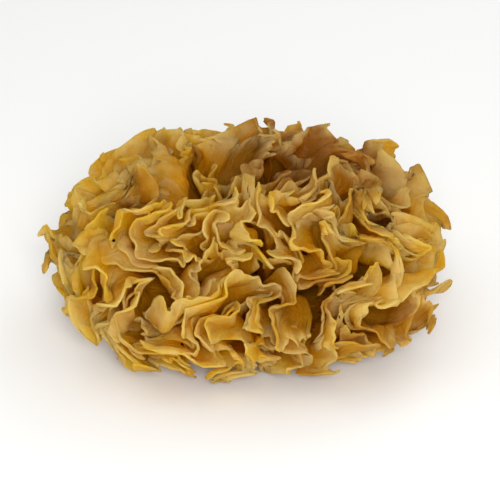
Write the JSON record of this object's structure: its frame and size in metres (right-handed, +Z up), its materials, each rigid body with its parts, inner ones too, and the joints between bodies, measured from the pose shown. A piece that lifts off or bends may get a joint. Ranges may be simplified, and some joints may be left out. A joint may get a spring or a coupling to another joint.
{
  "type": "snow fungus",
  "caption": "Dried snow fungus head: a low dome of thin, translucent, ruffled amber fronds that fork from a small base, cut flat to rest on.",
  "frame": {"origin": "middle of the cut face that the head rests on", "axes": "+Z up out of the base, +X along the head's longest side, -Y towards the side shown in the picture"},
  "size_m": [0.0892, 0.0754, 0.0422],
  "materials": {
    "frond": "dry, waxy, slightly translucent",
    "base": "dry, rough, matt"
  },
  "bodies": {
    "root": {"base": "base", "outer_frond_1": "frond", "outer_frond_2": "frond", "outer_frond_3": "frond", "outer_frond_4": "frond", "outer_frond_5": "frond", "outer_frond_6": "frond", "outer_frond_7": "frond", "outer_frond_8": "frond", "upper_frond_1": "frond", "upper_frond_2": "frond", "upper_frond_3": "frond", "upper_frond_4": "frond", "upper_frond_5": "frond", "crown_frond_1": "frond", "crown_frond_2": "frond"}
  },
  "joints": []
}
